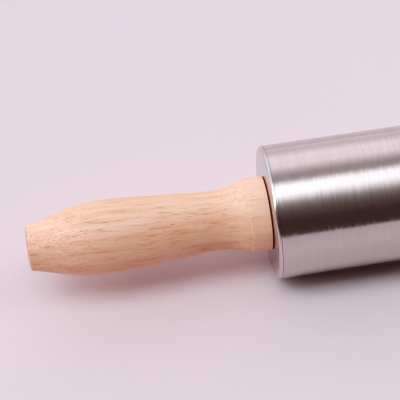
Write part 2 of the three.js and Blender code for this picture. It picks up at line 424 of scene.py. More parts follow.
@dataclass(frozen=True)
class SharedEffect:
    """A surface effect that several finishes use, built once as a shader node group that puts out a mask.

    Attributes:
        name: Name of the node group.
        detail: How many octaves the pattern has.
        roughness: How strong its finer octaves are.
        low: Pattern value that gives a mask of 0.
        high: Pattern value that gives a mask of 1.
    """

    name: str
    detail: float
    roughness: float
    low: float
    high: float

    def group(self) -> bpy.types.NodeTree:
        """Builds the group on first use.

        Returns:
            A group that takes a place and how fine the pattern is there.
        """
        found = bpy.data.node_groups.get(self.name)
        if found is not None:
            return found
        tree = bpy.data.node_groups.new(self.name, "ShaderNodeTree")
        for socket, kind in (("Place", "Vector"), ("First", "Float"), ("Others", "Float")):
            tree.interface.new_socket(socket, in_out="INPUT", socket_type=f"NodeSocket{kind}")
        tree.interface.new_socket("Mask", in_out="OUTPUT", socket_type="NodeSocketFloat")
        nodes = Wiring(tree)
        given = nodes.add("NodeGroupInput").outputs
        axes = {0: given["First"], 1: given["Others"], 2: given["Others"]}
        stretch = nodes.add("ShaderNodeCombineXYZ", axes).outputs[0]
        place = nodes.vector("MULTIPLY", given["Place"], stretch)
        inputs = {"Vector": place, "Scale": 1.0, "Detail": self.detail, "Roughness": self.roughness}
        noise = nodes.add("ShaderNodeTexNoise", inputs).outputs[0]
        nodes.add("NodeGroupOutput", {"Mask": nodes.remap(noise, self.low, self.high, 0.0, 1.0)})
        return tree

    def mask(self, nodes: Wiring, place: Socket, waves: Waves) -> Socket:
        """Places the group in a material with its own values, and returns its mask."""
        inputs = {"Place": place, "First": waves.first, "Others": waves.others}
        return nodes.add("ShaderNodeGroup", inputs, node_tree=self.group()).outputs["Mask"]


STREAKS = SharedEffect("fine_streaks", detail=3.0, roughness=0.6, low=0.32, high=0.68)
CLOUDS = SharedEffect("soft_clouds", detail=2.0, roughness=0.5, low=0.3, high=0.7)


@dataclass(frozen=True)
class Finish:
    """A named surface finish, made as one node-based material.

    Attributes:
        name: Name of the material.
    """

    name: str

    def material(self) -> bpy.types.Material:
        """Builds the material on first use.

        Returns:
            The material, with one Principled BSDF.
        """
        found = bpy.data.materials.get(self.name)
        if found is not None:
            return found
        material = bpy.data.materials.new(self.name)
        material.use_nodes = True
        nodes = Wiring(material.node_tree)
        shader = nodes.add("ShaderNodeBsdfPrincipled", self.inputs(nodes))
        nodes.add("ShaderNodeOutputMaterial", {"Surface": shader.outputs[0]})
        return material

    def inputs(self, nodes: Wiring) -> Inputs:
        """Draws the finish's pattern.

        Args:
            nodes: The material's nodes.

        Returns:
            What goes into the shader's sockets.
        """
        raise NotImplementedError

    def dress(self, piece: Piece) -> None:
        """Gives a piece this finish in its only material slot.

        Args:
            piece: The piece to dress.
        """
        if not piece.material_slots:
            piece.data.materials.append(None)
        for slot in piece.material_slots:
            slot.material = self.material()


@dataclass(frozen=True)
class BrushedMetal(Finish):
    """Metal brushed or turned around the axle, with fine lines and faint cloudy handling marks.

    Attributes:
        colour: Reflected colour.
        shade: How much darker the dullest lines are.
        smooth: Roughness of the brightest lines.
        rough: Roughness of the dullest lines.
        seat: Whether the lines stand side by side along the axle, or outwards from it as on a flat face.
        lines: Brush lines for each metre across them.
        line_waves: How often a line changes along itself, for each metre.
        strokes: Broad strokes for each line.
        stroke_waves: How often a broad stroke changes along itself, for each metre.
        marks: How fine the handling marks are.
        shares: How much the lines, the broad strokes and the marks each count for.
        depth: Height of the lines.
        relief: How strongly that height shows.
        anisotropic: How much the lines draw reflections out along the axle.
        tilts: Tilted strokes for each line.
        tilt_waves: How often a tilted stroke changes along itself, for each metre.
        ragged: How far single strokes tilt around the axle, which makes the edges of reflections ragged.
    """

    colour: Colour = (0.62, 0.55, 0.53)
    shade: float = 0.06
    smooth: float = 0.12
    rough: float = 0.29
    seat: Seat = Seat.ALONG_AXLE
    lines: float = 1600.0
    line_waves: float = 12.0
    strokes: float = 0.3
    stroke_waves: float = 30.0
    marks: Waves = Waves(22.0, 34.0)
    shares: Triple = (0.65, 0.25, 0.1)
    depth: float = 0.0008 * MM
    relief: float = 0.5
    anisotropic: float = 0.8
    tilts: float = 1.8
    tilt_waves: float = 28.0
    ragged: float = 0.032

    def inputs(self, nodes: Wiring) -> Inputs:
        """Joins brush lines and handling marks to colour, roughness and bump.

        Args:
            nodes: The material's nodes.

        Returns:
            What goes into the shader's sockets.
        """
        place = nodes.coordinate("Object")
        across = place
        if self.seat is Seat.FROM_AXLE:
            flat = nodes.vector("MULTIPLY", place, (0.0, 1.0, 1.0))
            across = nodes.on_first_axis(nodes.measure("LENGTH", flat))
        lines = STREAKS.mask(nodes, across, Waves(self.lines, self.line_waves))
        strokes = STREAKS.mask(nodes, across, Waves(self.lines * self.strokes, self.stroke_waves))
        marks = CLOUDS.mask(nodes, place, self.marks)
        tone = nodes.weigh(zip((lines, strokes, marks), self.shares))
        dark = tuple(part * (1.0 - self.shade) for part in self.colour)
        inputs = {
            "Base Color": nodes.blend(tone, self.colour, dark),
            "Metallic": 1.0,
            "Roughness": nodes.remap(tone, 0.0, 1.0, self.smooth, self.rough),
            "Anisotropic": self.anisotropic,
            "Anisotropic Rotation": QUARTER_TURN,
            "Normal": nodes.bump(self.relief, self.depth, lines),
        }
        if self.anisotropic > 0.0:
            around = nodes.add("ShaderNodeTangent", direction_type="RADIAL", axis="X").outputs[0]
            inputs["Tangent"] = around
            inputs["Normal"] = self.tilted(nodes, inputs["Normal"], around, place)
        return inputs

    def tilted(self, nodes: Wiring, normal: Socket, around: Socket, place: Socket) -> Socket:
        """Tilts the surface a little around the axle, by a different amount in each brush stroke.

        Args:
            nodes: The material's nodes.
            normal: The surface's normal.
            around: The direction around the axle.
            place: The surface's place.

        Returns:
            The tilted normal.
        """
        strokes = STREAKS.mask(nodes, place, Waves(self.lines * self.tilts, self.tilt_waves))
        lean = nodes.remap(strokes, 0.0, 1.0, -self.ragged / 2, self.ragged / 2)
        shift = nodes.add("ShaderNodeVectorMath", {0: around, "Scale": lean}, operation="SCALE").outputs[0]
        return nodes.vector("NORMALIZE", nodes.vector("ADD", normal, shift))


@dataclass(frozen=True)
class CloudyFinish(Finish):
    """A moulded, polished or coated surface with a soft cloudy change of tone and gloss.

    Attributes:
        light: The lighter tone.
        dark: The darker tone.
        smooth: Roughness of the lighter patches.
        rough: Roughness of the darker patches.
        metal: Whether it is bare metal.
        waves: Patches for each metre.
        depth: Height of the surface's unevenness.
        relief: How strongly that height shows.
        gloss: Strength of the clear reflection of a surface that isn't bare metal.
    """

    light: Colour = (0.8, 0.8, 0.8)
    dark: Colour = (0.7, 0.7, 0.7)
    smooth: float = 0.3
    rough: float = 0.4
    metal: bool = False
    waves: float = 400.0
    depth: float = 0.01 * MM
    relief: float = 0.4
    gloss: float = 0.5

    def inputs(self, nodes: Wiring) -> Inputs:
        """Joins the clouds to colour, roughness and bump.

        Args:
            nodes: The material's nodes.

        Returns:
            What goes into the shader's sockets.
        """
        clouds = CLOUDS.mask(nodes, nodes.coordinate("Object"), Waves(self.waves, self.waves))
        return {
            "Base Color": nodes.blend(clouds, self.light, self.dark),
            "Metallic": 1.0 if self.metal else 0.0,
            "Roughness": nodes.remap(clouds, 0.0, 1.0, self.smooth, self.rough),
            "Specular IOR Level": self.gloss,
            "Normal": nodes.bump(self.relief, self.depth, clouds),
        }


@dataclass(frozen=True)
class WoodSpot:
    """What the wood's patterns read at a spot of the surface.

    Attributes:
        grain: Place in the wood, with the grain along its first axis.
        away: Distance along the axle from the middle of the roller.
        layer: How far from the axle this layer of the wood lies.
        sap_and_light: How much of it is sap wood; 1 on the upper side, so that it also paints light on top
            and shade below.
        collar: How near it is to the collar, whose wood is cleaner and painted lighter.
        outer: How near it is to the rosy outer end.
        bands: How much it lies in a growth band.
        fine: The finest fibres.
    """

    grain: Socket
    away: Socket
    layer: Socket
    sap_and_light: Socket
    collar: Socket
    outer: Socket
    bands: Socket
    fine: Socket


@dataclass(frozen=True)
class GrowthBands:
    """The wood's growth bands, which are rings about the heart of the tree.

    Attributes:
        width: Width of a band.
        stretch: How fast the bands change along the grain, as a share of across it.
        wobble: How far the bands stray from circles.
        detail: How many octaves that straying has.
        detail_scale: How fine it is.
    """

    width: float = 3.6 * MM
    stretch: float = 0.06
    wobble: float = 2.2
    detail: float = 2.0
    detail_scale: float = 0.8

    def mask(self, nodes: Wiring, grain: Socket) -> Socket:
        """Draws the bands.

        Args:
            nodes: The material's nodes.
            grain: Place in the wood, with the grain along its first axis.

        Returns:
            A mask that is 1 in the middle of a band.
        """
        inputs = {
            "Vector": nodes.vector("MULTIPLY", grain, (self.stretch, 1.0, 1.0)),
            "Scale": math.tau / (WAVE_RADIANS * self.width),
            "Distortion": self.wobble,
            "Detail": self.detail,
            "Detail Scale": self.detail_scale,
        }
        return nodes.add("ShaderNodeTexWave", inputs, wave_type="RINGS", rings_direction="X").outputs["Fac"]


@dataclass(frozen=True)
class Fibres:
    """The streaks of late wood along the grain.

    Attributes:
        fine: How fine the finest fibres are.
        fine_share: How much late wood they show.
        band_share: How much late wood the growth bands show.
        broad: How fine the broad streaks are.
        broad_heart: How much late wood these show in the heart wood.
        broad_sap: How much they show in the sap wood.
        lines: How fine the dark lines are.
        line_from: Pattern value where a dark line starts.
        line_full: Pattern value where it is full.
        line_share: How much late wood it shows.
        collar_share: How much of all this shows on the clean collar.
    """

    fine: Waves = Waves(45.0, 1700.0)
    fine_share: float = 0.19
    band_share: float = 0.12
    broad: Waves = Waves(16.0, 380.0)
    broad_heart: float = 0.4
    broad_sap: float = 0.22
    lines: Waves = Waves(75.0, 1200.0)
    line_from: float = 0.62
    line_full: float = 0.95
    line_share: float = 0.5
    collar_share: float = 0.5

    def mask(self, nodes: Wiring, spot: WoodSpot) -> Socket:
        """Draws the streaks.

        Args:
            nodes: The material's nodes.
            spot: What the pattern reads.

        Returns:
            How much late wood shows.
        """
        broad = STREAKS.mask(nodes, spot.grain, self.broad)
        broad_share = nodes.remap(spot.sap_and_light, 0.0, 1.0, self.broad_heart, self.broad_sap)
        wide = nodes.math("MULTIPLY", broad, broad_share)
        soft = nodes.weigh([(spot.fine, self.fine_share), (spot.bands, self.band_share)], wide)
        lines = STREAKS.mask(nodes, spot.grain, self.lines)
        dark = nodes.remap(lines, self.line_from, self.line_full, 0.0, self.line_share)
        late = nodes.math("ADD", soft, dark)
        return nodes.math("MULTIPLY", late, nodes.remap(spot.collar, 0.0, 1.0, 1.0, self.collar_share))


@dataclass(frozen=True)
class Pores:
    """The wood's open pores: thin dark dashes along the grain, longer and closer together in some places.

    Attributes:
        colour: Colour in a pore.
        share: How much of that colour shows.
        rough: How much rougher a pore is.
        length: Room along the grain for each pore.
        room: Room across the grain for each pore.
        stagger: How far rows of pores are shifted against each other along the grain.
        rows: How fine these rows are.
        crowds: How fine the places with many pores are.
        crowd_chance: How much likelier a pore is there.
        zone: How far from the axle the layer with the most pores lies.
        zone_full: Half the thickness of that layer.
        zone_end: How far from its middle the layer ends.
        zone_chance: How much likelier a pore is in that layer.
        least: Chance where pores start to show.
        most: Chance where pores are largest.
        reach: Half the size of the largest, as a share of its room.
        edge: Width of a pore's soft edge, as a share of its room.
        faintest: How much of the faintest pore shows.
    """

    colour: Colour = (0.4, 0.105, 0.045)
    share: float = 0.85
    rough: float = 0.2
    length: float = 6.5 * MM
    room: float = 0.72 * MM
    stagger: float = 14.0 * MM
    rows: Waves = Waves(2.0, 700.0)
    crowds: Waves = Waves(40.0, 170.0)
    crowd_chance: float = 0.45
    zone: float = 10.5 * MM
    zone_full: float = 2.5 * MM
    zone_end: float = 6.0 * MM
    zone_chance: float = 0.2
    least: float = 0.66
    most: float = 1.5
    reach: float = 0.36
    edge: float = 0.1
    faintest: float = 0.4

    def mask(self, nodes: Wiring, spot: WoodSpot) -> Socket:
        """Draws the pores.

        Args:
            nodes: The material's nodes.
            spot: What the pattern reads.

        Returns:
            A mask that is 1 in the darkest pores.
        """
        rows = STREAKS.mask(nodes, spot.grain, self.rows)
        shift = nodes.on_first_axis(nodes.math("MULTIPLY", rows, self.stagger))
        rooms = (1.0 / self.length, 1.0 / self.room, 1.0 / self.room)
        place = nodes.vector("MULTIPLY", nodes.vector("ADD", spot.grain, shift), rooms)
        cells = nodes.add("ShaderNodeTexVoronoi", {"Vector": place, "Scale": 1.0}, feature="F1").outputs
        chance, depth, _ = nodes.add("ShaderNodeSeparateColor", {0: cells["Color"]}).outputs
        crowds = CLOUDS.mask(nodes, spot.grain, self.crowds)
        chance = nodes.weigh([(crowds, self.crowd_chance)], chance)
        aside = nodes.math("ABSOLUTE", nodes.math("SUBTRACT", spot.layer, self.zone))
        zone = nodes.remap(aside, self.zone_full, self.zone_end, self.zone_chance, 0.0)
        reach = nodes.remap(nodes.math("ADD", chance, zone), self.least, self.most, 0.0, self.reach)
        inside = nodes.remap(nodes.math("SUBTRACT", reach, cells["Distance"]), 0.0, self.edge, 0.0, 1.0)
        return nodes.math("MULTIPLY", inside, nodes.remap(depth, 0.0, 1.0, self.faintest, 1.0))


@dataclass(frozen=True)
class CutGrain:
    """Wood that is cut across the grain, as on the collar's step, the flat end and the collar's face. Its
    darker tone is partly painted shade: it dims the lit edge of the collar's step, and stands for the gap's
    shade on the collar's face.

    Attributes:
        colour: Colour between the growth rings.
        ring: Colour of the rings.
        fibre_share: How much the fibres count for in the rings.
        band_share: How much the growth bands count for.
        slope_from: How far a surface faces along the axle where the cut starts to show.
        slope_full: How far it faces along the axle where the cut shows most.
        share: How much the cut shows there.
        face: The dark end grain of the collar's face, darkened further as painted shade of the gap beside
            the cap.
        gap_shade_from: Distance along the axle where that painted shade starts.
        gap_shade_full: Distance along the axle where it is full.
        face_rough: How much rougher the collar's face is.
    """

    colour: Colour = (0.78, 0.43, 0.27)
    ring: Colour = (0.46, 0.17, 0.085)
    fibre_share: float = 0.4
    band_share: float = 0.5
    slope_from: float = 0.5
    slope_full: float = 0.9
    share: float = 0.75
    # Painted shade of the narrow gap between the grip and the cap, on darker end grain.
    face: Colour = (0.42, 0.08, 0.02)
    gap_shade_from: float = 100.48 * MM
    gap_shade_full: float = 100.41 * MM
    face_rough: float = 0.4

    def tint(self, nodes: Wiring, spot: WoodSpot, colour: Socket) -> Socket:
        """Shows the cut where the surface faces along the axle, which also dims the lit edge of the
        collar's step as painted shade.

        Args:
            nodes: The material's nodes.
            spot: What the pattern reads.
            colour: The wood's colour along the grain.

        Returns:
            The wood's colour with the cut.
        """
        facing = nodes.math("ABSOLUTE", nodes.first_axis(nodes.coordinate("Normal")))
        # Darker where the surface faces along the axle: end grain, and painted shade on the collar step's
        # lit edge.
        cut = nodes.remap(facing, self.slope_from, self.slope_full, 0.0, self.share)
        rings = nodes.weigh([(spot.fine, self.fibre_share), (spot.bands, self.band_share)])
        return nodes.blend(cut, colour, nodes.blend(rings, self.colour, self.ring))

    def gap_shade_mask(self, nodes: Wiring, spot: WoodSpot) -> Socket:
        """A mask that is 1 on the collar's face and the inner part of its rounded edge, where shade of the
        gap is painted.
        """
        return nodes.remap(spot.away, self.gap_shade_full, self.gap_shade_from, 1.0, 0.0)


@dataclass(frozen=True)
class TurnedWood(Finish):
    """Pale close-grained wood, turned and sanded, with growth bands, fibres and short open pores along it.

    Attributes:
        sap_lit_top: The pale sap wood on the upper side, paler there also as painted light.
        heart_shaded_below: The browner heart wood below, browner there also as painted shade.
        flush: Pinker patches of the heart wood.
        flush_waves: How fine these patches are.
        heart_edge: How far from the axle the change from sap to heart wood lies.
        heart_blur: Half the width of that change.
        heart_way: Direction across that change, towards the sap wood and the lit upper side.
        wander: How far that change wanders.
        wander_waves: How fine its wandering is.
        rosy: The pinker wood between the sap and the heart.
        rosy_top: How far from the axle the sap wood ends and the rosy wood starts.
        rosy_blur: Half the width of that change.
        rosy_from: Distance along the axle where the rosy wood starts to show more.
        rosy_full: Distance along the axle where it shows fully.
        rosy_least: How much of it shows elsewhere.
        rosy_shift: How much lower the heart wood starts at the rosy end.
        clean_lit: The paler, cleaner sap wood of the collar, painted lighter also as light off the steel
            cap.
        clean_lit_heart: The heart wood of the collar, painted lighter in the same way.
        clean_lit_share: How much of these colours shows on the collar.
        clean_lit_from: Distance along the axle where they start to show, towards the collar.
        clean_lit_full: Distance along the axle where they show fully.
        clean_lit_shift: How much lower the heart wood starts there, which also paints the collar lighter.
        late: Late wood, in the growth bands and fibres.
        heart_shift: Moves the heart of the tree away from the axle.
        lean: Turns of the grain about the three axes, in degrees.
        smooth: Roughness between the fibres.
        rough: Roughness of the fibres.
        depth: Depth of the pores.
        fibre_height: Height of the fibres, as a share of that depth.
        relief: How strongly these heights show.
        gloss: Strength of the clear reflection.
        bands: The growth bands.
        fibres: The streaks of late wood.
        pores: The open pores.
        cut: The wood cut across the grain.
    """

    # Paler top, browner underside: the wood's own sap and heart, and also painted light above and painted
    # shade below.
    sap_lit_top: Colour = (0.905, 0.605, 0.425)
    heart_shaded_below: Colour = (0.893, 0.507, 0.338)
    flush: Colour = (0.965, 0.575, 0.415)
    flush_waves: Waves = Waves(13.0, 30.0)
    heart_edge: float = 8.6 * MM
    heart_blur: float = 3.0 * MM
    heart_way: Triple = (0.0, 0.35, 0.94)
    wander: float = 5.5 * MM
    wander_waves: Waves = Waves(16.0, 90.0)
    rosy: Colour = (1.0, 0.65, 0.497)
    rosy_top: float = 13.5 * MM
    rosy_blur: float = 1.2 * MM
    rosy_from: float = 140.0 * MM
    rosy_full: float = 165.0 * MM
    rosy_least: float = 0.35
    rosy_shift: float = 1.2 * MM
    # The collar's paler colours are cleaner wood plus painted light, standing for light off the steel cap.
    clean_lit: Colour = (0.945, 0.625, 0.455)
    clean_lit_heart: Colour = (1.0, 0.605, 0.42)
    clean_lit_share: float = 0.9
    clean_lit_from: float = 119.0 * MM
    clean_lit_full: float = 104.0 * MM
    clean_lit_shift: float = 0.5 * MM
    late: Colour = (0.72, 0.3, 0.175)
    heart_shift: Triple = (0.0, -52.0 * MM, -31.0 * MM)
    lean: Triple = (0.0, -1.8, 2.0)
    smooth: float = 0.48
    rough: float = 0.58
    depth: float = 0.05 * MM
    fibre_height: float = 0.3
    relief: float = 0.5
    gloss: float = 0.4
    bands: GrowthBands = GrowthBands()
    fibres: Fibres = Fibres()
    pores: Pores = Pores()
    cut: CutGrain = CutGrain()

    def inputs(self, nodes: Wiring) -> Inputs:
        """Joins bands, fibres and pores to colour, roughness and bump.

        Args:
            nodes: The material's nodes.

        Returns:
            What goes into the shader's sockets.
        """
        spot = self.spot(nodes)
        pores = self.pores.mask(nodes, spot)
        face = self.cut.gap_shade_mask(nodes, spot)
        streaked = nodes.blend(self.fibres.mask(nodes, spot), self.body(nodes, spot), self.late)
        porous = nodes.math("MULTIPLY", pores, self.pores.share)
        colour = nodes.blend(porous, self.cut.tint(nodes, spot, streaked), self.pores.colour)
        rough = nodes.remap(spot.fine, 0.0, 1.0, self.smooth, self.rough)
        height = nodes.weigh([(pores, -1.0), (spot.fine, self.fibre_height)])
        return {
            # The collar's face gets painted shade of the gap, on darker end grain.
            "Base Color": nodes.blend(face, colour, self.cut.face),
            "Roughness": nodes.weigh([(pores, self.pores.rough), (face, self.cut.face_rough)], rough),
            "Specular IOR Level": self.gloss,
            "Normal": nodes.bump(self.relief, self.depth, height),
        }

    def spot(self, nodes: Wiring) -> WoodSpot:
        """Finds what the wood's patterns read.

        Args:
            nodes: The material's nodes.

        Returns:
            The sockets of a spot on the surface.
        """
        place = nodes.coordinate("Object")
        turns = tuple(math.radians(turn) for turn in self.lean)
        mapping = {"Vector": place, "Location": self.heart_shift, "Rotation": turns}
        grain = nodes.add("ShaderNodeMapping", mapping).outputs[0]
        away = nodes.math("ABSOLUTE", nodes.first_axis(place))
        collar = nodes.remap(away, self.clean_lit_from, self.clean_lit_full, 0.0, 1.0)
        outer = nodes.remap(away, self.rosy_from, self.rosy_full, 0.0, 1.0)
        wander = CLOUDS.mask(nodes, grain, self.wander_waves)
        shifts = [(collar, self.clean_lit_shift), (outer, self.rosy_shift), (wander, self.wander)]
        layer = nodes.weigh(shifts, nodes.measure("DOT_PRODUCT", place, self.heart_way))
        low = self.heart_edge - self.heart_blur
        high = self.heart_edge + self.heart_blur
        # This mask is also painted light on the upper side and painted shade below.
        sap_and_light = nodes.remap(layer, low, high, 0.0, 1.0)
        bands = self.bands.mask(nodes, grain)
        fine = STREAKS.mask(nodes, grain, self.fibres.fine)
        return WoodSpot(grain, away, layer, sap_and_light, collar, outer, bands, fine)

    def body(self, nodes: Wiring, spot: WoodSpot) -> Socket:
        """Colours the wood by its layers, without bands, fibres and pores. Its paler top and browner
        underside are partly the wood's own tone and partly painted light and shade.

        Args:
            nodes: The material's nodes.
            spot: What the pattern reads.

        Returns:
            The colour.
        """
        flush = CLOUDS.mask(nodes, spot.grain, self.flush_waves)
        heart_shaded_below = nodes.blend(flush, self.heart_shaded_below, self.flush)
        start = self.rosy_top + self.rosy_blur
        full = self.rosy_top - self.rosy_blur
        rosy = nodes.remap(spot.layer, start, full, 0.0, 1.0)
        rosy = nodes.math("MULTIPLY", rosy, nodes.remap(spot.outer, 0.0, 1.0, self.rosy_least, 1.0))
        body = nodes.blend(spot.sap_and_light, heart_shaded_below, nodes.blend(rosy, self.sap_lit_top, self.rosy))
        # Painted light on the collar, standing for light off the steel cap, on cleaner wood.
        clean_lit = nodes.blend(spot.sap_and_light, self.clean_lit_heart, self.clean_lit)
        return nodes.blend(nodes.math("MULTIPLY", spot.collar, self.clean_lit_share), body, clean_lit)


def settle(piece: Piece, body: Body, node: str, finish: Finish) -> None:
    """Sets a piece on its body in place of its plain solid, and dresses it.

    Args:
        piece: The new piece.
        body: The body that it moves with.
        node: The solid that it stands for.
        finish: The piece's finish.
    """
    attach(piece, body.value)
    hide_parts(node)
    finish.dress(piece)


@dataclass
class Roller:
    """The hollow steel roller: a brushed barrel closed by a pressed cap at each end.

    Attributes:
        radius: Outer radius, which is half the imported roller's height.
        barrel_finish: Finish of the barrel.
        cap_finish: Finish of the two caps.
        wall: Wall of the barrel.
        edge_break: Width of the break on the barrel's outer edges.
        seam_gap: Width of the joint line between the barrel and a cap.
        fit_gap: Gap between a cap's skirt and the barrel.
        cap_face: Place of a cap's flat face along the axle.
        sheet: Thickness of a cap's sheet.
        shoulder: Rounding from a cap's face to its side.
        skirt: How far a cap's skirt reaches into the barrel.
        pocket_radius: Radius of the pocket for a bearing.
        pocket_floor: Place of the pocket's floor along the axle.
        pocket_round: Rounding of the pocket's mouth.
        floor_hole: Radius of the hole in the pocket's floor.
        shoulder_steps: Stretches of the shoulder's rounding.
        mouth_steps: Stretches of the mouth's rounding.
        pieces: The finished barrel and caps.
    """

    radius: float
    barrel_finish: Finish
    cap_finish: Finish
    wall: float = 1.2 * MM
    edge_break: float = 0.12 * MM
    seam_gap: float = 0.14 * MM
    fit_gap: float = 0.1 * MM
    cap_face: float = 100.0 * MM
    sheet: float = 1.2 * MM
    shoulder: float = 1.4 * MM
    skirt: float = 6.0 * MM
    pocket_radius: float = 11.17 * MM
    pocket_floor: float = 92.33 * MM
    pocket_round: float = 0.6 * MM
    floor_hole: float = 7.05 * MM
    shoulder_steps: int = 10
    mouth_steps: int = 5
    pieces: list[Piece] = field(default_factory=list)

    def build_barrel(self, lathe: Lathe) -> None:
        """Turns the barrel, with a small break on its two outer edges.

        Args:
            lathe: Makes the turned pieces.
        """
        end = self.cap_face - self.shoulder - self.seam_gap
        inner = self.radius - self.wall
        bore = [Station(-end, inner), Station(end, inner)]
        outer_edges = [Station(end, self.radius), Station(-end, self.radius)]
        barrel = lathe.turn("barrel_tube", bore + outer_edges + bore[:1])
        lathe.round_rings(barrel, outer_edges, self.edge_break)
        lathe.smooth(barrel)
        settle(barrel, Body.ROLLER, "roller_barrel", self.barrel_finish)
        self.pieces.append(barrel)

    def cap_profile(self) -> list[Station]:
        """The left cap's outline: skirt, rounded shoulder, flat face and the pocket for its bearing.

        Returns:
            Stations that end where they start.
        """
        seam = self.cap_face - self.shoulder
        skirt_outer = self.radius - self.wall - self.fit_gap
        skirt_inner = skirt_outer - self.sheet
        skirt_end = seam - self.skirt
        under_face = self.cap_face - self.sheet
        under_floor = self.pocket_floor - self.sheet
        pocket_outer = self.pocket_radius + self.sheet
        edge = Station(seam, self.radius - self.shoulder)
        mouth = Station(self.cap_face - self.pocket_round, self.pocket_radius + self.pocket_round)
        points = [
            Station(skirt_end, skirt_outer),
            Station(seam, skirt_outer),
            *arc(edge, self.shoulder, OUTWARDS, TO_RIGHT, self.shoulder_steps),
            *arc(mouth, self.pocket_round, TO_RIGHT, INWARDS, self.mouth_steps),
            Station(self.pocket_floor, self.pocket_radius),
            Station(self.pocket_floor, self.floor_hole),
            Station(under_floor, self.floor_hole),
            Station(under_floor, pocket_outer),
            Station(under_face, pocket_outer),
            Station(under_face, skirt_inner),
            Station(skirt_end, skirt_inner),
            Station(skirt_end, skirt_outer),
        ]
        # Drawn towards +X, and here turned over to the left end.
        return [Station(-point.along, point.radius) for point in points]

    def build_caps(self, lathe: Lathe) -> None:
        """Turns the two caps.

        Args:
            lathe: Makes the turned pieces.
        """
        for side, cap in lathe.turn_pair("cap_pressing", self.cap_profile()).items():
            settle(cap, Body.ROLLER, f"{side.value}_end_cap", self.cap_finish)
            self.pieces.append(cap)


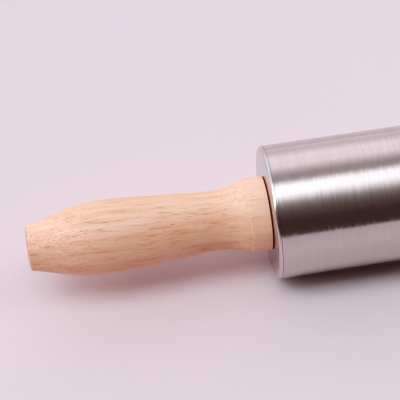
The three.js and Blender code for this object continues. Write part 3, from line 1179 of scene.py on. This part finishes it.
@dataclass
class Grips:
    """The two turned wooden grips: straight collar, cove, neck, belly, taper and a flat end.

    Attributes:
        finish: The wood.
        face: Place of the collar's flat face along the axle, which the other places are measured from.
        bore_radius: Radius of the hole for the axle.
        bore_depth: How deep that hole is.
        seat_radius: Radius of the wider hole for the threaded insert.
        seat_depth: How deep that hole is.
        land_radius: Radius of the low land on the collar's face.
        land_height: Height of the land.
        collar_radius: Radius of the collar.
        collar_width: Length of the collar along the axle.
        collar_round: Rounding of the edge at the collar's face.
        collar_step: Height of the step from the collar down to the cove.
        collar_ease: Rounding of that step's edge.
        collar_foot: How far past the collar the step's foot lies.
        cove_length: Length from the collar to the neck.
        neck_radius: Radius of the neck, the thinnest place.
        neck_ease: How far from the neck the control points of the curves beside it lie.
        swell_length: Length from the neck to the belly.
        belly_radius: Radius of the belly, the thickest place.
        belly_ease: How far from the belly the control points of the curves beside it lie.
        taper_length: Length from the belly to the end.
        end_radius: Radius where the rounding of the end's rim starts.
        end_ease: How far from the end the last control point of the taper lies.
        end_lean: How much wider than the end that point is.
        end_round: Rounding of the end's rim.
        end_crown: How far the middle of the end stands out past its rim.
        end_flat: Radius of the flat in that middle.
        collar_steps: Stretches of each of the collar's roundings.
        cove_steps: Stretches of the cove.
        swell_steps: Stretches from the neck to the belly.
        taper_steps: Stretches of the taper.
        end_steps: Stretches of the rim's rounding, and of the crown.
        pieces: The finished grips.
    """

    finish: Finish
    face: float = 100.25 * MM
    bore_radius: float = 4.1 * MM
    bore_depth: float = 30.0 * MM
    seat_radius: float = 6.7 * MM
    seat_depth: float = 22.1 * MM
    land_radius: float = 14.3 * MM
    land_height: float = 0.1 * MM
    collar_radius: float = 15.1 * MM
    collar_width: float = 8.8 * MM
    collar_round: float = 0.35 * MM
    collar_step: float = 0.45 * MM
    collar_ease: float = 0.9 * MM
    collar_foot: float = 0.4 * MM
    cove_length: float = 13.2 * MM
    neck_radius: float = 12.1 * MM
    neck_ease: float = 5.0 * MM
    swell_length: float = 45.0 * MM
    belly_radius: float = 15.2 * MM
    belly_ease: float = 12.5 * MM
    taper_length: float = 31.5 * MM
    end_radius: float = 9.35 * MM
    end_ease: float = 8.0 * MM
    end_lean: float = 1.0 * MM
    end_round: float = 0.9 * MM
    end_crown: float = 0.4 * MM
    end_flat: float = 5.0 * MM
    collar_steps: int = 5
    cove_steps: int = 12
    swell_steps: int = 22
    taper_steps: int = 18
    end_steps: int = 6
    pieces: list[Piece] = field(default_factory=list)

    def bore(self) -> list[Station]:
        """The hole for the axle and its insert, and the land around it.

        Returns:
            Stations from the axle to the edge of the land.
        """
        return [
            Station(self.bore_depth, 0.0),
            Station(self.bore_depth, self.bore_radius),
            Station(self.seat_depth, self.bore_radius),
            Station(self.seat_depth, self.seat_radius),
            Station(-self.land_height, self.seat_radius),
            Station(-self.land_height, self.land_radius),
            Station(0.0, self.land_radius),
        ]

    def collar(self) -> list[Station]:
        """The collar with its two rounded edges.

        Returns:
            Stations from the collar's face to the foot of its step.
        """
        front = Station(self.collar_round, self.collar_radius - self.collar_round)
        back = Station(self.collar_width - self.collar_ease, self.collar_radius - self.collar_ease)
        step_turn = math.degrees(math.acos(1.0 - self.collar_step / self.collar_ease))
        return [
            *arc(front, self.collar_round, TO_LEFT, OUTWARDS, self.collar_steps),
            *arc(back, self.collar_ease, OUTWARDS, step_turn, self.collar_steps),
            Station(self.collar_width + self.collar_foot, self.collar_radius - self.collar_step),
        ]

    def profile(self) -> list[Station]:
        """The left grip's outline, from the bottom of its bore to its flat end.

        Returns:
            Stations that start and end on the axle.
        """
        neck = self.collar_width + self.cove_length
        belly = neck + self.swell_length
        end = belly + self.taper_length
        collar = self.collar()
        at_neck = Station(neck, self.neck_radius)
        at_belly = Station(belly, self.belly_radius)
        before_neck = Station(neck - self.neck_ease, self.neck_radius)
        past_neck = Station(neck + self.neck_ease, self.neck_radius)
        before_belly = Station(belly - self.belly_ease, self.belly_radius)
        past_belly = Station(belly + self.belly_ease, self.belly_radius)
        before_end = Station(end - self.end_ease, self.end_radius + self.end_lean)
        rim = Station(end - self.end_crown - self.end_round, self.end_radius - self.end_round)
        rounding = arc(rim, self.end_round, OUTWARDS, TO_RIGHT, self.end_steps)
        shallow = Station(end, (rim.radius + self.end_flat) / 2)
        points = [
            *self.bore(),
            *collar,
            *bezier([collar[-1], before_neck, at_neck], self.cove_steps),
            *bezier([at_neck, past_neck, before_belly, at_belly], self.swell_steps),
            *bezier([at_belly, past_belly, before_end, rounding[0]], self.taper_steps),
            *rounding[1:],
            *bezier([rounding[-1], shallow, Station(end, self.end_flat)], self.end_steps),
            Station(end, 0.0),
        ]
        # Drawn from the collar's face towards +X, and here turned over to the left end.
        return [Station(-(self.face + point.along), point.radius) for point in points]

    def build(self, lathe: Lathe) -> None:
        """Turns the two grips, and sets them on the fixed axle's body.

        Args:
            lathe: Makes the turned pieces.
        """
        for side, grip in lathe.turn_pair("grip_wood", self.profile()).items():
            settle(grip, Body.GRIPS, f"{side.value}_grip", self.finish)
            self.pieces.append(grip)


@dataclass
class RunningGear:
    """The pieces inside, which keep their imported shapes: axle, bearings, circlips, washers and inserts.

    Attributes:
        finishes: For a word in a node's name, the finish of such nodes. The first word found counts.
        pieces: The dressed nodes.
    """

    finishes: dict[str, Finish]
    pieces: list[Piece] = field(default_factory=list)

    def dress(self, nodes: dict[str, Piece]) -> None:
        """Gives each of these nodes its finish.

        Args:
            nodes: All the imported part's nodes, by name.
        """
        for name, node in sorted(nodes.items()):
            finish = next((finish for word, finish in self.finishes.items() if word in name), None)
            if finish is not None:
                finish.dress(node)
                self.pieces.append(node)


@dataclass
class Studio:
    """The pale table, the soft light, the camera and the view's tone.

    Attributes:
        table_height: Height of the table, which the roller lies on.
        table_colour: Colour of the table.
        table_dim: How bright the table's darker patches are, as a share of that colour.
        table_size: Length of its sides.
        box_size: Length along the axle and width of the overhead softbox.
        box_power: Power of the softbox, in watts.
        box_colour: Colour of its light.
        box_distance: How far the softbox is from the roller.
        box_lean: How far it leans towards the camera, from straight above, in degrees.
        box_aside: How far it leans to the left, in degrees.
        sky: Stops of the room's light, each an angle from the front horizon over the top and a colour.
        left: The same to the left of the pin.
        right_share: How bright the room to the right is, as a share of the left.
        side_from: How far a direction points along the axle where the light from a side starts.
        side_full: How far it points along the axle where that light is full.
        backdrop: Colour that the camera sees past the table.
        tone: Points of the view's tone curve, each a level of light and how it is shown.
        sensor: Width of the camera's sensor, in millimetres.
        focal: Focal length in picture widths.
        sight: How far the camera sees.
        climb: How far the axle climbs across the picture, in degrees.
        recede: How far the axle turns away from the camera, in degrees.
        elevation: How far the camera looks down, in degrees.
        seam: The middle of the left cap's joint line in the camera's axes: right, down and forward.
        seam_along: The same point's place along the axle.
    """

    table_height: float
    table_colour: Colour = (0.74, 0.595, 0.604)
    table_dim: float = 0.985
    table_size: float = 8.0
    box_size: tuple[float, float] = (10.4, 4.8)
    box_power: float = 285.0
    box_colour: Colour = (0.646, 0.846, 1.0)
    box_distance: float = 12.0
    box_lean: float = 13.0
    box_aside: float = 17.0
    sky: Stops = (
        (0.0, (0.115, 0.08, 0.077)),
        (26.0, (0.13, 0.09, 0.087)),
        (42.0, (0.2, 0.165, 0.165)),
        (50.0, (0.29, 0.25, 0.255)),
        (58.0, (0.5, 0.465, 0.49)),
        (65.0, (1.02, 1.0, 1.07)),
        (71.0, (1.5, 1.55, 1.66)),
        (78.0, (1.7, 1.76, 1.9)),
        (87.0, (1.7, 1.76, 1.9)),
        (92.0, (1.08, 1.06, 1.13)),
        (97.0, (0.48, 0.415, 0.45)),
        (107.0, (0.48, 0.415, 0.45)),
        (116.0, (0.83, 0.75, 0.8)),
        (125.0, (1.2, 1.16, 1.26)),
        (146.0, (1.28, 1.24, 1.36)),
        (162.0, (0.9, 0.83, 0.92)),
        (168.0, (0.85, 0.77, 0.84)),
        (178.0, (1.0, 0.9, 0.98)),
    )
    left: Stops = (
        (0.0, (0.04, 0.03, 0.03)),
        (45.0, (0.1, 0.085, 0.085)),
        (60.0, (0.25, 0.23, 0.24)),
        (67.0, (4.16, 4.76, 5.12)),
        (87.0, (4.16, 4.76, 5.12)),
        (98.0, (0.98, 1.08, 1.16)),
        (180.0, (0.98, 1.08, 1.16)),
    )
    right_share: float = 0.3
    side_from: float = 0.22
    side_full: float = 0.5
    backdrop: Colour = (0.78, 0.68, 0.76)
    tone: tuple[tuple[float, float], ...] = (
        (0.02, 0.007),
        (0.05, 0.02),
        (0.1, 0.065),
        (0.2, 0.172),
        (0.3, 0.29),
        (0.4, 0.4),
    )
    sensor: float = 36.0
    focal: float = 5.0
    sight: float = 50.0
    climb: float = 8.45
    recede: float = 4.07
    elevation: float = 45.0
    seam: Triple = (29.0 * MM, 5.02 * MM, 816.33 * MM)
    seam_along: float = -98.5 * MM

    def build_table(self) -> None:
        """Adds the plain pale table top."""
        deselect_everything()
        bpy.ops.mesh.primitive_plane_add(size=self.table_size, location=(0.0, 0.0, self.table_height))
        table = bpy.context.object
        table.name = "table_top"
        bpy.ops.object.transform_apply(location=True, rotation=True, scale=True)
        finish = CloudyFinish(
            "pale_table",
            light=self.table_colour,
            dark=tuple(part * self.table_dim for part in self.table_colour),
            smooth=0.38,
            rough=0.42,
            waves=9.0,
            gloss=0.04,
        )
        finish.dress(table)

    def build_softbox(self) -> None:
        """Adds the overhead softbox, which faces the roller and doesn't show in reflections."""
        aside = math.radians(self.box_aside)
        lean = math.radians(self.box_lean)
        direction = Vector((-math.tan(aside), -math.tan(lean), 1.0)).normalized()
        axle = Vector((1.0, 0.0, 0.0))
        across = (axle - direction * axle.dot(direction)).normalized()
        lamp = bpy.data.lights.new("softbox", "AREA")
        lamp.shape = "RECTANGLE"
        lamp.size, lamp.size_y = self.box_size
        lamp.energy = self.box_power
        lamp.color = self.box_colour
        softbox = bpy.data.objects.new("softbox", lamp)
        softbox.location = direction * self.box_distance
        turned = Matrix((across, direction.cross(across), direction)).transposed()
        softbox.rotation_euler = turned.to_euler()
        softbox.visible_glossy = False
        bpy.context.scene.collection.objects.link(softbox)

    def build_room(self) -> None:
        """Wires the room's light by angle about the axle, and the plain backdrop that the camera sees."""
        world = bpy.data.worlds.new("studio_room")
        world.use_nodes = True
        bpy.context.scene.world = world
        nodes = Wiring(world.node_tree)
        x, y, z = nodes.add("ShaderNodeSeparateXYZ", {0: nodes.coordinate("Generated")}).outputs
        angle = nodes.math("ARCTAN2", z, nodes.math("MULTIPLY", y, -1.0))
        half_turns = nodes.math("DIVIDE", angle, math.pi)
        right = tuple(
            (degrees, tuple(part * self.right_share for part in colour)) for degrees, colour in self.left
        )
        leftward = nodes.remap(x, -self.side_from, -self.side_full, 0.0, 1.0)
        rightward = nodes.remap(x, self.side_from, self.side_full, 0.0, 1.0)
        room = nodes.blend(leftward, nodes.ramp(half_turns, self.sky), nodes.ramp(half_turns, self.left))
        room = nodes.blend(rightward, room, nodes.ramp(half_turns, right))
        seen = nodes.add("ShaderNodeLightPath").outputs["Is Camera Ray"]
        background = nodes.add("ShaderNodeBackground", {"Color": nodes.blend(seen, room, self.backdrop)})
        nodes.add("ShaderNodeOutputWorld", {"Surface": background.outputs[0]})

    def to_camera(self) -> Matrix:
        """Finds how the part lies before the camera.

        The axle's direction is given by how it climbs and recedes in the picture. The upright direction is
        square to it, and leans towards the camera by the camera's elevation.

        Returns:
            A matrix that turns directions of the part's frame into right, down and forward.
        """
        climb = math.radians(self.climb)
        recede = math.radians(self.recede)
        elevation = math.radians(self.elevation)
        flat = Vector((math.cos(climb), -math.sin(climb))) * math.cos(recede)
        axle = Vector((flat.x, flat.y, math.sin(recede)))
        up_forward = -math.sin(elevation)
        along = -axle.z * up_forward / flat.length_squared
        sideways = math.sqrt(math.cos(elevation) ** 2 / flat.length_squared - along * along)
        up_flat = flat * along + Vector((flat.y, -flat.x)) * sideways
        up = Vector((up_flat.x, up_flat.y, up_forward))
        return Matrix((axle, up.cross(axle), up)).transposed()

    def build_camera(self) -> None:
        """Adds the camera where the photograph was taken from."""
        to_camera = self.to_camera()
        right, down, forward = to_camera
        data = bpy.data.cameras.new("photo_camera")
        data.sensor_width = self.sensor
        data.lens = self.sensor * self.focal
        data.clip_end = self.sight
        camera = bpy.data.objects.new("photo_camera", data)
        place = Vector((self.seam_along, 0.0, 0.0)) - to_camera.transposed() @ Vector(self.seam)
        turned = Matrix((right, -down, -forward)).transposed().to_4x4()
        camera.matrix_world = Matrix.Translation(place) @ turned
        bpy.context.scene.collection.objects.link(camera)
        bpy.context.scene.camera = camera

    def set_tone(self) -> None:
        """Sets a plain view of the colours with the photograph's deep shadows."""
        view = bpy.context.scene.view_settings
        view.view_transform = "Standard"
        view.use_curve_mapping = True
        *_, combined = view.curve_mapping.curves
        for level, shown in self.tone:
            combined.points.new(level, shown).handle_type = "AUTO_CLAMPED"
        view.curve_mapping.update()


def cap_finish() -> Finish:
    """The caps' smooth satin steel.

    Returns:
        The finish.
    """
    return BrushedMetal(
        "satin_cap_steel",
        colour=(0.66, 0.61, 0.6),
        shade=0.05,
        smooth=0.19,
        rough=0.26,
        seat=Seat.FROM_AXLE,
        lines=900.0,
        depth=0.0005 * MM,
        anisotropic=0.0,
    )


def gear_finishes() -> dict[str, Finish]:
    """The finishes of the pieces inside the roller.

    Returns:
        For a word in a node's name, the finish of such nodes.
    """
    ground = BrushedMetal(
        "ground_bearing_steel",
        colour=(0.5, 0.5, 0.51),
        smooth=0.18,
        rough=0.28,
        lines=2600.0,
        anisotropic=0.3,
    )
    nylon = CloudyFinish(
        "moulded_cage_nylon",
        light=(0.77, 0.71, 0.58),
        dark=(0.7, 0.63, 0.5),
        smooth=0.45,
        rough=0.6,
    )
    polished = CloudyFinish(
        "polished_ball_steel",
        light=(0.66, 0.66, 0.67),
        dark=(0.6, 0.6, 0.61),
        smooth=0.06,
        rough=0.12,
        metal=True,
        depth=0.0005 * MM,
    )
    phosphated = CloudyFinish(
        "phosphated_spring_steel",
        light=(0.06, 0.055, 0.05),
        dark=(0.035, 0.032, 0.03),
        smooth=0.42,
        rough=0.6,
        metal=True,
    )
    brass = BrushedMetal(
        "turned_insert_brass",
        colour=(0.6, 0.41, 0.14),
        smooth=0.25,
        rough=0.4,
        lines=1300.0,
    )
    return {
        "cage": nylon,
        "ball": polished,
        "circlip": phosphated,
        "insert": brass,
        "spacer": ground,
        "bearing": ground,
        "axle": ground,
    }


def main() -> None:
    """Builds the roller, the grips, the running gear's finishes and the studio, in that order."""
    logging.basicConfig(level=logging.INFO, format="%(name)s: %(message)s")
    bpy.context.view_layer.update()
    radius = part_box("roller_barrel")[1].z
    lathe = Lathe()

    roller = Roller(radius, BrushedMetal("brushed_barrel_steel"), cap_finish())
    roller.build_barrel(lathe)
    roller.build_caps(lathe)

    grips = Grips(TurnedWood("pale_turned_wood"))
    grips.build(lathe)

    gear = RunningGear(gear_finishes())
    gear.dress(frame["nodes"])

    studio = Studio(table_height=-radius)
    studio.build_table()
    studio.build_softbox()
    studio.build_room()
    studio.build_camera()
    studio.set_tone()

    for piece in roller.pieces + grips.pieces + gear.pieces:
        LOG.info("%s: %d faces, %s", piece.name, len(piece.data.polygons), piece.material_slots[0].name)


if __name__ == "__main__":
    main()
